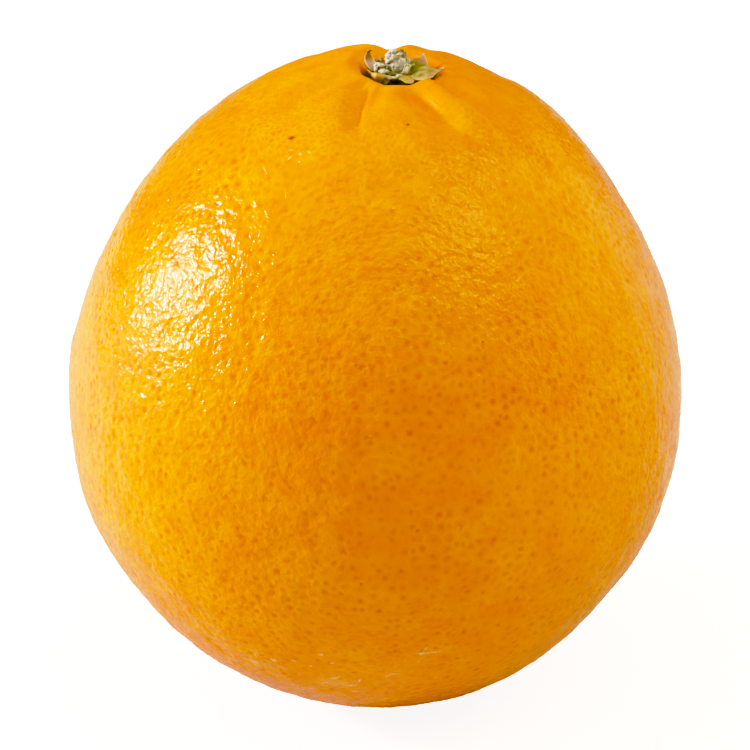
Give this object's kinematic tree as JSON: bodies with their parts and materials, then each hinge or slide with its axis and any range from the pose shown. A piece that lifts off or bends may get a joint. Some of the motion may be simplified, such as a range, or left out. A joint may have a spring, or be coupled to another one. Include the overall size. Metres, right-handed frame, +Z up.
{
  "type": "orange",
  "caption": "Whole ripe sweet orange standing on its blossom end, with pitted peel, radiating folds at the stem hollow, a dry calyx and a cut woody stem stub.",
  "frame": {"origin": "on the ground in the middle of the flat spot under the blossom end, which is the middle of the bottom of the box round the fruit", "axes": "+Z up through the fruit from the blossom end to the stem end, its longest direction; +X towards the side that the stem end leans to"},
  "size_m": [0.0802, 0.0802, 0.0876],
  "materials": {
    "peel": "satin",
    "calyx_wood": "matte",
    "stem_wood": "matte",
    "sepal_green": "matte",
    "sepal_dry": "matte",
    "sepal_tan": "matte"
  },
  "bodies": {
    "root": {"fruit": "peel", "calyx_disc": "calyx_wood", "stem_stub": "stem_wood", "sepal_1": "sepal_green", "sepal_2": "sepal_dry", "sepal_3": "sepal_dry", "sepal_4": "sepal_tan", "sepal_5": "sepal_tan"}
  },
  "joints": []
}
